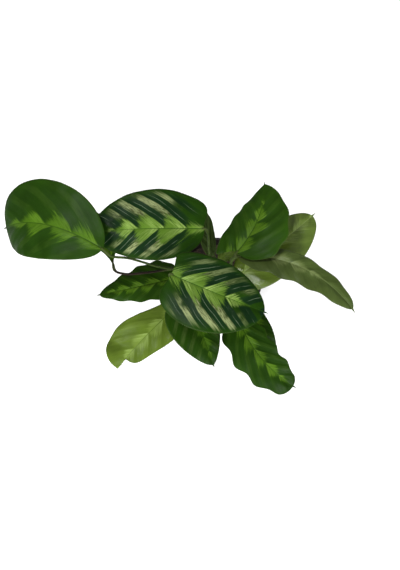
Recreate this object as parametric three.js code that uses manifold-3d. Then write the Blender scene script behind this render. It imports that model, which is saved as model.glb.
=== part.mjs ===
// A calathea in a round nursery pot: fourteen blades, each on its own leaf stalk, rising from a
// short rhizome that sits in the potting soil. Millimetres, +Z up, origin under the pot's centre.
import * as THREE from "three";
import { mergeVertices } from "three/addons/utils/BufferGeometryUtils.js";
import Module from "manifold-3d";

// ---- Pot -------------------------------------------------------------------------------------
const POT_HEIGHT = 104;
const POT_RIM_RADIUS = 60;
const POT_BASE_RADIUS = 43;
const POT_WALL = 1.5;
const POT_FLOOR = 2;
const POT_BASE_CHAMFER = 2;
const RIM_BAND_HEIGHT = 11;
const RIM_STEP = 1.6;
const RIM_ROUNDING = 0.7;
const DRAIN_HOLES = 6;
const DRAIN_HOLE_RADIUS = 4;
const DRAIN_RING_RADIUS = 27;
const DRILL_LENGTH = 6;
const DRILL_SEGMENTS = 12;
const POT_SEGMENTS = 36;

// ---- Soil and rhizome ------------------------------------------------------------------------
const SOIL_BELOW_RIM = 12;
const SOIL_DISH = 1.5;
const SOIL_EDGE_BAND = 9;
const RHIZOME_RADIUS = 23;
const RHIZOME_RISE = 8;
const RHIZOME_DEPTH = 10;
const RHIZOME_ROUNDING = 3;
const RHIZOME_SEGMENTS = 24;
const RHIZOME_FLAT_RADIUS = RHIZOME_RADIUS - RHIZOME_ROUNDING;
// Feet are placed for a flat top of this radius and keep their share of any other.
const FOOT_LAYOUT_RADIUS = 20;

// ---- Leaves ----------------------------------------------------------------------------------
const BLADE_THICKNESS = 0.8;
const BLADE_BASE_HALF_WIDTH = 1.3;
const BLADE_TIP_HALF_WIDTH = 0.5;
const DRIP_TIP_SHARE = 0.04;
const MIDRIB_FOLD_DEG = 8;
const LOBE_REACH = 0.1;
const HOOD_REACH = 0.05;
const DROOP_POWER = 1.5;
const CUP_START = 0.85;
const BLADE_STEPS_LONG = 14;
const BLADE_STEPS_ACROSS = 6;
const SPINE_STEPS = 60;
const NORMAL_STEP = 1e-3;

const STALK_FOOT_RADIUS = 2.6;
const STALK_RADIUS = 1.4;
const PULVINUS_RADIUS = 1.9;
const PULVINUS_LENGTH = 12;
const SHEATH_LENGTH = 45;
const STALK_END_RADIUS = 1.1;
const STALK_RISE = 14;
const STALK_SIDES = 6;
const STALK_STEPS = 14;
const STALK_STEP_CROWDING = 1.6;

const GAP = 0.3;
const BLADE_SEAT_GAP = 1.2;

// Heights that follow from the sizes above.
const SOIL_TOP = POT_HEIGHT - SOIL_BELOW_RIM;
const RHIZOME_TOP = SOIL_TOP + RHIZOME_RISE;

// Each leaf: `at` is where its blade starts, from the centre of the rhizome's top. Headings are
// degrees from +X towards +Y, pitch is up, `droop` and `swing` are how far the midrib turns down
// and sideways by the tip, and `roll` and `twist` turn the blade about its midrib. Pairs are the
// left and right side, looking from stalk to tip: half width, how far the base lobe reaches back,
// the arch of the half blade in degrees, how far a hood reaches past the tip, and how far the
// tip is cupped upwards, in degrees. `swell` sets where the outline is widest: a small first
// value is a blunt base, a small second value a blunt tip. `wave` is a wavy margin: depth as a
// share of the width, waves along the blade, and the start of the wave on each side.
// `foot` is where the stalk stands on the rhizome, `via` are points that it passes, `lead` is the
// straight length of stalk behind the blade and `sink` is how far that length drops.
const LEAVES = [
  {
    name: "far_left", at: [-130, -32, 164], heading: 149, pitch: 9, length: 144, droop: 64,
    swing: 24, roll: -12, twist: -10, half: [39, 50], lobe: [1, -2], arch: [20, 12],
    hood: [0, 0], cup: [0, 0], swell: [0.6, 0.42], wave: [0, 0, 0, 0],
    foot: [-16, 5], lead: 9, sink: 6,
    via: [[-30, -4, 68], [-58, -28.5, 102], [-104, -28, 130]],
  },
  {
    name: "left_upper", at: [-18, 2, 146], heading: 183, pitch: 9, length: 134, droop: 20,
    swing: 0, roll: -8, twist: -9, half: [36, 46], lobe: [1, 14], arch: [23, 17],
    hood: [0, 0], cup: [0, 0], swell: [0.51, 0.65], wave: [0, 0, 0, 0],
    foot: [-7, 3], lead: 4, sink: 9,
    via: [[-11, 4, 70]],
  },
  {
    name: "left_lower", at: [-49, -25, 68], heading: 200, pitch: 7, length: 104, droop: 25,
    swing: -15, roll: 2, twist: 5, half: [21, 28], lobe: [0, 6], arch: [19, 20],
    hood: [0, 0], cup: [0, 0], swell: [0.43, 0.85], wave: [0.06, 4.5, 0, 0.2],
    foot: [-12, -12], lead: 9, sink: 5,
    via: [[-26, -20, 32]],
  },
  {
    name: "centre_top", at: [-54, -61, 162], heading: 332, pitch: 4, length: 114, droop: 17,
    swing: 11, roll: 2, twist: -4, half: [38, 46], lobe: [12, 7], arch: [18, 19],
    hood: [0, 0], cup: [0, 0], swell: [0.44, 0.63], wave: [0, 0, 0, 0],
    foot: [-8, -6], lead: 1, sink: 9,
    via: [[-29, -35, 75], [-46, -55, 130]],
  },
  {
    name: "front_left", at: [-40, -55, 70], heading: 225, pitch: 9, length: 108, droop: 20,
    swing: 5, roll: -6, twist: 0, half: [25, 29], lobe: [1, -3], arch: [18, 26],
    hood: [0, 15], cup: [20, 120], swell: [0.68, 0.38], wave: [0.24, 0.8, 0.07, 0.53],
    foot: [-5, -16], lead: 9, sink: 4,
    via: [[-22, -37, 36]],
  },
  {
    name: "front_middle", at: [-36, -69, 105], heading: 290, pitch: 8, length: 86, droop: 42,
    swing: 2, roll: -8, twist: -7, half: [25, 35], lobe: [0, 4], arch: [21, 16],
    hood: [0, 0], cup: [0, 0], swell: [0.42, 0.82], wave: [0, 0, 0, 0],
    foot: [0, -10], lead: 8, sink: 4,
    via: [[-17, -45, 66]],
  },
  {
    name: "front_right", at: [20, -78, 96], heading: 280, pitch: 1, length: 120, droop: 35,
    swing: 58, roll: 5, twist: 9, half: [21, 27], lobe: [-1, 2], arch: [16, 20],
    hood: [0, 0], cup: [0, 0], swell: [0.42, 0.48], wave: [0.09, 4.5, -0.1, 0.2],
    foot: [4, -18], lead: 10, sink: 3,
    via: [[2, -44, 62]],
  },
  {
    name: "front_right_under", at: [23, -47, 72], heading: 296, pitch: 4, length: 90, droop: 36,
    swing: 3, roll: -1, twist: 2, half: [16, 28], lobe: [0, 0], arch: [21, 20],
    hood: [0, 0], cup: [0, 0], swell: [0.54, 0.45], wave: [0, 0, 0, 0],
    foot: [11, -13], lead: 9, sink: 5,
    via: [[15, -28, 38]],
  },
  {
    name: "back_right_upper", at: [20, -15, 118], heading: 45, pitch: 16, length: 99, droop: 23,
    swing: 47, roll: -10, twist: -13, half: [31, 41], lobe: [24, -1], arch: [27, 19],
    hood: [0, 0], cup: [0, 0], swell: [0.5, 0.9], wave: [0.035, 4.5, 0.2, 0.4],
    foot: [9, -7], lead: 2, sink: 8,
    via: [[9, -16, 50], [11, -22, 90]],
  },
  {
    name: "back_right_lower", at: [19, -28, 66], heading: 33, pitch: 20, length: 131, droop: 20,
    swing: 9, roll: -2, twist: -1, half: [32, 36], lobe: [-6, 4], arch: [22, 20],
    hood: [0, 0], cup: [0, 0], swell: [0.49, 0.62], wave: [0, 0, 0, 0],
    foot: [15, -5], lead: 9, sink: 4,
    via: [[12, -22, 40]],
  },
  {
    name: "right_trailing", at: [24, -15, 108], heading: -7, pitch: 21, length: 158, droop: 45,
    swing: -46, roll: -4, twist: -1, half: [14, 21], lobe: [-1, 2], arch: [21, 19],
    hood: [0, 0], cup: [0, 0], swell: [0.55, 0.67], wave: [0.07, 4.5, 0, 0.5],
    foot: [15, 4], lead: 9, sink: 6,
    via: [[16.5, -8.5, 66]],
  },
  {
    name: "back_steep", at: [-5, 14, 50], heading: 112, pitch: 47, length: 75, droop: 20,
    swing: 2, roll: 52, twist: 3, half: [24, 23], lobe: [0, 0], arch: [20, 21],
    hood: [0, 0], cup: [0, 0], swell: [0.49, 0.61], wave: [0, 0, 0, 0],
    foot: [-1, 12], lead: 8, sink: 3,
    via: [],
  },
  {
    name: "left_small", at: [-125, -25, 112], heading: 107, pitch: 10, length: 71, droop: 30,
    swing: 3, roll: 0, twist: 0, half: [16, 19], lobe: [-4, -3], arch: [20, 20],
    hood: [0, 0], cup: [0, 0], swell: [1.0, 0.6], wave: [0, 0, 0, 0],
    foot: [-17, -4], lead: 10, sink: 1,
    via: [[-30, -13, 50], [-46, -19, 78], [-61, -25, 90], [-86, -34, 102], [-111, -38, 108]],
  },
  {
    name: "centre_young", at: [1, -5, 70], heading: 43, pitch: 28, length: 41, droop: 21,
    swing: -4, roll: 0, twist: 0, half: [13, 13], lobe: [-3, -4], arch: [20, 20],
    hood: [0, 0], cup: [0, 0], swell: [0.53, 0.59], wave: [0, 0, 0, 0],
    foot: [0, -1], lead: 6, sink: 2,
    via: [[-2, -6, 40]],
  },
];

// ---- Colours ---------------------------------------------------------------------------------
const finish = (color, roughness) =>
  new THREE.MeshStandardMaterial({ color, roughness, metalness: 0 });
const bladeGreen = {
  far_left: 0x23441a,
  left_upper: 0x24462a,
  left_lower: 0x1d3816,
  centre_top: 0x2b5033,
  front_left: 0x5f7a2f,
  front_middle: 0x243f22,
  front_right: 0x2a5420,
  front_right_under: 0x234a1c,
  back_right_upper: 0x285318,
  back_right_lower: 0x5c7a35,
  right_trailing: 0x55663a,
  back_steep: 0x253a1c,
  left_small: 0x24351c,
  centre_young: 0x6a8038,
};

const wasm = await Module();
wasm.setup();

const radians = THREE.MathUtils.degToRad;
const smoothstep = THREE.MathUtils.smoothstep;

function asSolid(geometry) {
  const bare = geometry.clone();
  bare.deleteAttribute("normal");
  bare.deleteAttribute("uv");
  const merged = mergeVertices(bare, 1e-4);
  const vertProperties = new Float32Array(merged.attributes.position.array);
  const triVerts = new Uint32Array(merged.index.array);
  return new wasm.Manifold(new wasm.Mesh({ numProp: 3, vertProperties, triVerts }));
}

function asGeometry(solid) {
  const mesh = solid.getMesh();
  const geometry = new THREE.BufferGeometry();
  geometry.setAttribute("position", new THREE.BufferAttribute(mesh.vertProperties, mesh.numProp));
  geometry.setIndex(new THREE.BufferAttribute(mesh.triVerts, 1));
  geometry.computeVertexNormals();
  return geometry;
}

// A body of revolution about +Z from [radius, height] pairs, bottom first.
function turned(profile, segments) {
  const points = profile.map(([radius, height]) => new THREE.Vector2(radius, height));
  return new THREE.LatheGeometry(points, segments).rotateX(Math.PI / 2);
}

function moveVertices(geometry, place) {
  const position = geometry.attributes.position;
  const from = new THREE.Vector3();
  for (let i = 0; i < position.count; i++) {
    from.fromBufferAttribute(position, i);
    const to = place(from);
    position.setXYZ(i, to.x, to.y, to.z);
  }
  geometry.computeVertexNormals();
  return geometry;
}

// ---- Pot, soil, rhizome ----------------------------------------------------------------------
// Outer radius of the pot's cone below the rim band.
function coneRadius(height) {
  const top = POT_RIM_RADIUS - RIM_STEP;
  return POT_BASE_RADIUS + ((top - POT_BASE_RADIUS) * height) / POT_HEIGHT;
}

function potGeometry() {
  const bandFoot = POT_HEIGHT - RIM_BAND_HEIGHT;
  const shell = turned(
    [
      [0, 0],
      [POT_BASE_RADIUS - POT_BASE_CHAMFER, 0],
      [coneRadius(POT_BASE_CHAMFER), POT_BASE_CHAMFER],
      [coneRadius(bandFoot), bandFoot],
      [coneRadius(bandFoot) + RIM_STEP, bandFoot + RIM_ROUNDING],
      [POT_RIM_RADIUS, POT_HEIGHT - RIM_ROUNDING],
      [POT_RIM_RADIUS - RIM_ROUNDING, POT_HEIGHT],
      [coneRadius(POT_HEIGHT) - POT_WALL, POT_HEIGHT],
      [coneRadius(POT_FLOOR) - POT_WALL, POT_FLOOR],
      [0, POT_FLOOR],
    ],
    POT_SEGMENTS,
  );
  let pot = asSolid(shell);
  for (let i = 0; i < DRAIN_HOLES; i++) {
    const angle = (2 * Math.PI * i) / DRAIN_HOLES;
    const radius = DRAIN_HOLE_RADIUS;
    const drill = new THREE.CylinderGeometry(radius, radius, DRILL_LENGTH, DRILL_SEGMENTS);
    drill.rotateX(Math.PI / 2);
    drill.translate(DRAIN_RING_RADIUS * Math.cos(angle), DRAIN_RING_RADIUS * Math.sin(angle), 0);
    pot = pot.subtract(asSolid(drill));
  }
  return asGeometry(pot);
}

function soilGeometry() {
  const fit = (height) => coneRadius(height) - POT_WALL - GAP;
  const bottom = POT_FLOOR + GAP;
  const pit = RHIZOME_RADIUS + GAP;
  const pitFloor = SOIL_TOP - RHIZOME_DEPTH - GAP;
  return turned(
    [
      [0, bottom],
      [fit(bottom), bottom],
      [fit(SOIL_TOP), SOIL_TOP],
      [fit(SOIL_TOP) - SOIL_EDGE_BAND, SOIL_TOP - SOIL_DISH],
      [pit, SOIL_TOP],
      [pit, pitFloor],
      [0, pitFloor],
    ],
    POT_SEGMENTS,
  );
}

function rhizomeGeometry() {
  const shoulder = RHIZOME_TOP - RHIZOME_ROUNDING;
  return turned(
    [
      [0, SOIL_TOP - RHIZOME_DEPTH],
      [RHIZOME_RADIUS - RHIZOME_ROUNDING, SOIL_TOP - RHIZOME_DEPTH],
      [RHIZOME_RADIUS, SOIL_TOP - RHIZOME_DEPTH + RHIZOME_ROUNDING],
      [RHIZOME_RADIUS, shoulder],
      [RHIZOME_FLAT_RADIUS, RHIZOME_TOP],
      [0, RHIZOME_TOP],
    ],
    RHIZOME_SEGMENTS,
  );
}

// ---- Blades ----------------------------------------------------------------------------------
// The midrib's direction at share t of the blade's length, and the frame that it carries.
function frameAt(leaf, t) {
  const heading = radians(leaf.heading + leaf.swing * t);
  const pitch = radians(leaf.pitch - leaf.droop * t ** DROOP_POWER);
  const roll = radians(leaf.roll + leaf.twist * t);
  const along = new THREE.Vector3(
    Math.cos(pitch) * Math.cos(heading),
    Math.cos(pitch) * Math.sin(heading),
    Math.sin(pitch),
  );
  const left = new THREE.Vector3(-Math.sin(heading), Math.cos(heading), 0);
  left.applyAxisAngle(along, roll);
  const up = new THREE.Vector3().crossVectors(along, left);
  return { along, left, up };
}

function bladeStart(leaf) {
  return new THREE.Vector3(...leaf.at).add(new THREE.Vector3(0, 0, RHIZOME_TOP));
}

// Points along the midrib, SPINE_STEPS of them after the first.
function spineOf(leaf) {
  const spine = [bladeStart(leaf)];
  for (let i = 0; i < SPINE_STEPS; i++) {
    const { along } = frameAt(leaf, (i + 0.5) / SPINE_STEPS);
    spine.push(spine[i].clone().addScaledVector(along, leaf.length / SPINE_STEPS));
  }
  return spine;
}

function spinePoint(spine, t) {
  const place = Math.min(Math.max(t, 0), 1) * SPINE_STEPS;
  const i = Math.min(Math.floor(place), SPINE_STEPS - 1);
  return spine[i].clone().lerp(spine[i + 1], place - i);
}

// Half width of the blade as a share of its widest, before the drip tip.
function outline(leaf, t) {
  const [a, b] = leaf.swell;
  const u = Math.min(Math.max(t / (1 - DRIP_TIP_SHARE), 0), 1);
  const widest = a / (a + b);
  return (u ** a * (1 - u) ** b) / (widest ** a * (1 - widest) ** b);
}

// A point of the blade's middle surface: t from stalk to tip, v from -1 (right) to 1 (left).
function bladePoint(leaf, spine, t, v) {
  const side = v >= 0 ? 0 : 1;
  const sign = v >= 0 ? 1 : -1;
  const share = Math.abs(v);
  const { along, left, up } = frameAt(leaf, t);
  const [depth, count, ...starts] = leaf.wave;
  const wave = 1 + depth * Math.sin(2 * Math.PI * (count * t + starts[side]));
  const edge = BLADE_BASE_HALF_WIDTH + (BLADE_TIP_HALF_WIDTH - BLADE_BASE_HALF_WIDTH) * t;
  const half = leaf.half[side] * outline(leaf, t) * wave + edge;
  const fold = radians(MIDRIB_FOLD_DEG);
  const arch = radians(leaf.arch[side] - leaf.cup[side] * smoothstep(t, CUP_START, 1));
  const base = t / LOBE_REACH;
  const tip = (1 - t) / HOOD_REACH;
  const lobe = leaf.lobe[side] * base * Math.exp(1 - base);
  const hood = leaf.hood[side] * tip * Math.exp(1 - tip);
  const back = share ** 2 * (lobe - hood);
  return spinePoint(spine, t)
    .addScaledVector(along, -back)
    .addScaledVector(left, (sign * half * (Math.sin(fold) - Math.sin(fold - arch * share))) / arch)
    .addScaledVector(up, (half * (Math.cos(fold - arch * share) - Math.cos(fold))) / arch);
}

function bladeNormal(leaf, spine, t, v) {
  const t0 = Math.max(t - NORMAL_STEP, 0);
  const t1 = Math.min(t + NORMAL_STEP, 1);
  const v0 = Math.max(v - NORMAL_STEP, -1);
  const v1 = Math.min(v + NORMAL_STEP, 1);
  const lengthwise = bladePoint(leaf, spine, t1, v).sub(bladePoint(leaf, spine, t0, v));
  const across = bladePoint(leaf, spine, t, v1).sub(bladePoint(leaf, spine, t, v0));
  return lengthwise.cross(across).normalize();
}

function bladeGeometry(leaf) {
  const spine = spineOf(leaf);
  const slab = new THREE.BoxGeometry(1, 1, 1, BLADE_STEPS_LONG, BLADE_STEPS_ACROSS, 1);
  return moveVertices(slab, ({ x, y, z }) => {
    const t = 0.5 - 0.5 * Math.cos(Math.PI * (x + 0.5));
    const v = 2 * y;
    const normal = bladeNormal(leaf, spine, t, v);
    return bladePoint(leaf, spine, t, v).addScaledVector(normal, z * BLADE_THICKNESS);
  });
}

// ---- Leaf stalks -----------------------------------------------------------------------------
function stalkCurve(leaf) {
  const [x, y] = leaf.foot.map((c) => (c * RHIZOME_FLAT_RADIUS) / FOOT_LAYOUT_RADIUS);
  const foot = new THREE.Vector3(x, y, RHIZOME_TOP + GAP);
  const start = bladeStart(leaf);
  const { along } = frameAt(leaf, 0);
  const last = start.clone().addScaledVector(along, -leaf.lead).add(new THREE.Vector3(0, 0, -leaf.sink));
  const points = [
    foot,
    foot.clone().add(new THREE.Vector3(0, 0, STALK_RISE)),
    ...leaf.via.map((p) => new THREE.Vector3(...p).add(new THREE.Vector3(0, 0, RHIZOME_TOP))),
    last,
    start.clone().lerp(last, BLADE_SEAT_GAP / start.distanceTo(last)),
  ];
  return new THREE.CatmullRomCurve3(points, false, "centripetal");
}

// Stout in the sheath at the foot, slim above it, swollen at the pulvinus under the blade.
function stalkRadius(fromFoot, toBlade) {
  if (toBlade < PULVINUS_LENGTH) {
    const share = toBlade / PULVINUS_LENGTH;
    const ends = STALK_END_RADIUS + (STALK_RADIUS - STALK_END_RADIUS) * share;
    return ends + (PULVINUS_RADIUS - STALK_RADIUS) * Math.sin(Math.PI * share);
  }
  const sheath = Math.max(1 - fromFoot / SHEATH_LENGTH, 0);
  return STALK_RADIUS + (STALK_FOOT_RADIUS - STALK_RADIUS) * sheath;
}

function stalkGeometry(leaf) {
  const curve = stalkCurve(leaf);
  const length = curve.getLength();
  const rings = [];
  let side = new THREE.Vector3(1, 0, 0);
  for (let i = 0; i <= STALK_STEPS; i++) {
    const share = 1 - (1 - i / STALK_STEPS) ** STALK_STEP_CROWDING;
    const tangent = curve.getTangentAt(share);
    side = side.clone().addScaledVector(tangent, -side.dot(tangent)).normalize();
    const radius = stalkRadius(share * length, (1 - share) * length);
    const other = new THREE.Vector3().crossVectors(side, tangent);
    rings.push({ centre: curve.getPointAt(share), side, other, radius });
  }
  const rod = new THREE.CylinderGeometry(1, 1, 1, STALK_SIDES, STALK_STEPS);
  return moveVertices(rod, ({ x, y, z }) => {
    const ring = rings[Math.round((y + 0.5) * STALK_STEPS)];
    return ring.centre
      .clone()
      .addScaledVector(ring.side, x * ring.radius)
      .addScaledVector(ring.other, z * ring.radius);
  });
}

// ---- Assembly --------------------------------------------------------------------------------
function named(name, geometry, material) {
  const mesh = new THREE.Mesh(geometry, material);
  mesh.name = name;
  return mesh;
}

const plant = new THREE.Group();
for (const leaf of LEAVES) {
  plant.add(named(`blade_${leaf.name}`, bladeGeometry(leaf), finish(bladeGreen[leaf.name], 0.38)));
  plant.add(named(`stalk_${leaf.name}`, stalkGeometry(leaf), finish(0x5d6b34, 0.5)));
}

const calathea = new THREE.Group();
calathea.add(named("pot", potGeometry(), finish(0x1d1512, 0.55)));
calathea.add(named("soil", soilGeometry(), finish(0x2b1d13, 0.95)));
calathea.add(named("rhizome", rhizomeGeometry(), finish(0x6b5236, 0.8)));
calathea.add(plant);

export default calathea;
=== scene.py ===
"""Potted calathea: the visible plant, pot and soil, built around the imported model.

Lengths in the leaf tables are millimetres; everything that reaches Blender is in metres, in the
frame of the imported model: +Z up, origin under the middle of the pot.
"""

from __future__ import annotations

import logging
import math
import random
from dataclasses import dataclass, field, replace
from enum import Enum
from typing import Union

import bmesh
import bpy
from mathutils import Euler, Matrix, Vector, noise

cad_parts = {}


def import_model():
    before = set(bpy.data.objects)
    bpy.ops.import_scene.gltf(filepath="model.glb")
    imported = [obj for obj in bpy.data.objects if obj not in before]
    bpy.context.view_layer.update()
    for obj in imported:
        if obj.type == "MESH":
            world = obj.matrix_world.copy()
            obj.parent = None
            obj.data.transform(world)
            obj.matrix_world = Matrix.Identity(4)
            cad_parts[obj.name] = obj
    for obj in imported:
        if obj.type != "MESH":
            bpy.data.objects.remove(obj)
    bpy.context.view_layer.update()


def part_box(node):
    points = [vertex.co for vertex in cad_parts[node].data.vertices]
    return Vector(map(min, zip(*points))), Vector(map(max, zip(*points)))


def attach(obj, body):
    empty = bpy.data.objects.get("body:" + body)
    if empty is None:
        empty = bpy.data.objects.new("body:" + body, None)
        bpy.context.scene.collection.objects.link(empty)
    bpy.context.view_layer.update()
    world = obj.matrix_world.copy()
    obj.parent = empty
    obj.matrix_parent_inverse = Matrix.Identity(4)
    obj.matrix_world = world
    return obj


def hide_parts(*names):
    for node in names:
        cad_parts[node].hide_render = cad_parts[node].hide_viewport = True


LOG = logging.getLogger("calathea")
MM = 0.001
BODY = "root"
MERGE_DISTANCE = 1e-7
UNDERSIDE_SPECULAR = 0.1
UNDERSIDE_ROUGHNESS = 0.80
Colour = tuple[float, float, float, float]
Socket = bpy.types.NodeSocket
Value = Union[Socket, float, tuple]


def rgb(red: float, green: float, blue: float) -> Colour:
    """A linear colour with full alpha."""
    return (red, green, blue, 1.0)


def smoothstep(low: float, high: float, value: float) -> float:
    """Ease from 0 at `low` to 1 at `high`; `low` may be the larger one.

    Args:
        low: Value that gives 0.
        high: Value that gives 1.
        value: Value to ease.

    Returns:
        A number from 0 to 1.
    """
    share = min(max((value - low) / (high - low), 0.0), 1.0)
    return share * share * (3.0 - 2.0 * share)


# --------------------------------------------------------------------------------------------
# Shader helpers
# --------------------------------------------------------------------------------------------
class Net:
    """Adds nodes to one node tree and wires them."""

    def __init__(self, tree: bpy.types.NodeTree) -> None:
        """Start on an existing tree."""
        self.tree = tree

    def add(self, kind: str, **settings: object) -> bpy.types.Node:
        """Add a node and set its properties.

        Args:
            kind: The node's class name.
            settings: Properties of the node.

        Returns:
            The new node.
        """
        node = self.tree.nodes.new(kind)
        for name, value in settings.items():
            setattr(node, name, value)
        return node

    def feed(self, target: Socket, value: Value) -> None:
        """Link a socket to `target`, or set its own value."""
        if isinstance(value, bpy.types.NodeSocket):
            self.tree.links.new(value, target)
        else:
            target.default_value = value

    def math(self, operation: str, *values: Value) -> Socket:
        """One math node on one, two or three values.

        Args:
            operation: The node's operation.
            values: One to three sockets or numbers.

        Returns:
            The result.
        """
        node = self.add("ShaderNodeMath", operation=operation)
        for target, value in zip(node.inputs, values):
            self.feed(target, value)
        return node.outputs[0]

    def smooth(self, low: Value, high: Value, value: Value) -> Socket:
        """Ease from 0 at `low` to 1 at `high`, in either order.

        Args:
            low: Value that gives 0.
            high: Value that gives 1.
            value: Value to ease.

        Returns:
            The eased share.
        """
        node = self.add("ShaderNodeMapRange", interpolation_type="SMOOTHSTEP")
        for name, given in (("Value", value), ("From Min", low), ("From Max", high)):
            self.feed(node.inputs[name], given)
        return node.outputs["Result"]

    def product(self, *values: Value) -> Socket:
        """Multiply any number of values.

        Args:
            values: Sockets or numbers.

        Returns:
            The product.
        """
        result = values[0]
        for value in values[1:]:
            result = self.math("MULTIPLY", result, value)
        return result

    def mix(self, share: Value, first: Value, second: Value) -> Socket:
        """Blend two colours, `share` of the second.

        Args:
            share: Share of the second.
            first: Colour at 0.
            second: Colour at 1.

        Returns:
            The blend.
        """
        node = self.add("ShaderNodeMix", data_type="RGBA")
        self.feed(node.inputs[0], share)
        self.feed(node.inputs[6], first)
        self.feed(node.inputs[7], second)
        return node.outputs[2]

    def scaled(self, colour: Value, factor: Value) -> Socket:
        """Multiply a colour by a number.

        Args:
            colour: The colour.
            factor: The number.

        Returns:
            The scaled colour.
        """
        node = self.add("ShaderNodeVectorMath", operation="SCALE")
        self.feed(node.inputs[0], colour)
        self.feed(node.inputs["Scale"], factor)
        return node.outputs[0]

    def vector(self, x: Value, y: Value, z: Value) -> Socket:
        """Join three numbers.

        Args:
            x: First number.
            y: Second number.
            z: Third number.

        Returns:
            The vector.
        """
        node = self.add("ShaderNodeCombineXYZ")
        for target, value in zip(node.inputs, (x, y, z)):
            self.feed(target, value)
        return node.outputs[0]

    def split(self, vector: Socket) -> tuple[Socket, Socket, Socket]:
        """Take a vector apart.

        Args:
            vector: The vector.

        Returns:
            Its three numbers.
        """
        node = self.add("ShaderNodeSeparateXYZ")
        self.feed(node.inputs[0], vector)
        return tuple(node.outputs)

    def noise(self, place: Value, scale: float = 1.0, detail: float = 2.0) -> Socket:
        """Noise from 0 to 1 at a place.

        Args:
            place: The place.
            scale: Its scale.
            detail: Octaves of finer noise.

        Returns:
            The noise.
        """
        node = self.add("ShaderNodeTexNoise")
        self.feed(node.inputs["Vector"], place)
        node.inputs["Scale"].default_value = scale
        node.inputs["Detail"].default_value = detail
        return node.outputs["Fac"]

    def attribute(self, name: str) -> Socket:
        """A vector attribute of the mesh."""
        node = self.add("ShaderNodeAttribute", attribute_name=name)
        return node.outputs["Vector"]

    def bump(self, height: Value, distance: float, strength: float = 1.0) -> Socket:
        """A normal from a height in shares of `distance` metres.

        Args:
            height: The height.
            distance: Metres for a height of 1.
            strength: Share of the effect.

        Returns:
            The normal.
        """
        node = self.add("ShaderNodeBump")
        node.inputs["Distance"].default_value = distance
        node.inputs["Strength"].default_value = strength
        self.feed(node.inputs["Height"], height)
        return node.outputs[0]


def new_group(name: str, inputs: dict[str, object], outputs: dict[str, str]) -> tuple:
    """Make an empty shader node group.

    Args:
        name: The group's name.
        inputs: Input names and their defaults: a number or a colour.
        outputs: Output names and socket kinds, such as "Color" or "Float".

    Returns:
        The group, a Net on it, its input node's sockets and its output node's sockets.
    """
    group = bpy.data.node_groups.new(name, "ShaderNodeTree")
    for title, default in inputs.items():
        kind = "Color" if isinstance(default, tuple) else "Float"
        made = group.interface.new_socket(
            name=title, in_out="INPUT", socket_type="NodeSocket" + kind
        )
        made.default_value = default
    for title, kind in outputs.items():
        group.interface.new_socket(
            name=title, in_out="OUTPUT", socket_type="NodeSocket" + kind
        )
    net = Net(group)
    given = net.add("NodeGroupInput").outputs
    results = net.add("NodeGroupOutput").inputs
    return group, net, given, results


def new_material(name: str) -> tuple[bpy.types.Material, Net, bpy.types.Node]:
    """Make a material that holds one Principled BSDF.

    Args:
        name: The material's name.

    Returns:
        The material, a Net on its tree and the Principled node.
    """
    material = bpy.data.materials.new(name)
    material.use_nodes = True
    net = Net(material.node_tree)
    return material, net, material.node_tree.nodes["Principled BSDF"]


def use_group(net: Net, group: bpy.types.NodeTree, values: dict[str, Value]) -> bpy.types.Node:
    """Place a node group and set its inputs.

    Args:
        net: The tree to place it in.
        group: The node group.
        values: Input names and values.

    Returns:
        The group node.
    """
    node = net.add("ShaderNodeGroup", node_tree=group)
    for name, value in values.items():
        net.feed(node.inputs[name], value)
    return node


# --------------------------------------------------------------------------------------------
# Leaf finish
# --------------------------------------------------------------------------------------------
class Underside(Enum):
    """Colour family of a blade's underside: its dark and its light linear colour."""

    PLUM = ((0.030, 0.020, 0.016), (0.028, 0.050, 0.014))
    GREEN = ((0.014, 0.026, 0.006), (0.026, 0.048, 0.012))


@dataclass(frozen=True)
class LeafFinish:
    """Colours and pattern of one kind of blade. Colours are linear, spans are shares of the
    length, and the flame's reach from the midrib is in lengths of a group."""

    slot: str
    ground: Colour
    band: Colour
    flame: Colour
    flame_pale: Colour
    stripe: Colour
    stripe_brown: Colour
    vein: Colour
    # vein and vein_sheen_strength: the pale line along each side-vein groove, painted sheen that
    # stands for light glancing off the groove.
    midrib: Colour
    margin: Colour
    band_strength: float
    stripe_strength: float
    vein_sheen_strength: float
    flame_reach: float
    flame_strength: float
    feather: float
    flame_span: tuple[float, float]
    stripe_span: tuple[float, float]
    roughness: float = 0.30
    specular: float = 0.08
    left_fade: float = 0.0
    underside: Underside = Underside.PLUM


DARK_STRIPED = LeafFinish(
    slot="leaf_striped",
    ground=rgb(0.0075, 0.0250, 0.0016),
    band=rgb(0.0040, 0.0145, 0.0040),
    flame=rgb(0.0520, 0.1020, 0.0105),
    flame_pale=rgb(0.1750, 0.2500, 0.0650),
    stripe=rgb(0.1650, 0.1950, 0.0850),
    stripe_brown=rgb(0.0300, 0.0360, 0.0120),
    # Whitish vein lines: painted sheen, the glossy reflection along the vein grooves.
    vein=rgb(0.1500, 0.1950, 0.1250),
    midrib=rgb(0.0150, 0.0430, 0.0040),
    margin=rgb(0.0200, 0.0350, 0.0080),
    band_strength=1.0,
    stripe_strength=0.95,
    vein_sheen_strength=0.7,
    flame_reach=0.58,
    flame_strength=1.0,
    feather=0.80,
    # Flames and stripes stop short of the tip, which stays plain dark: partly painted shade, where
    # far_left shades this blade's tip.
    flame_span=(0.12, 0.68),
    stripe_span=(0.28, 0.76),
    specular=0.03,
)
CHEVRONS = replace(
    DARK_STRIPED, stripe_span=(0.19, 0.80), flame_span=(0.03, 0.66), left_fade=0.5
)
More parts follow.
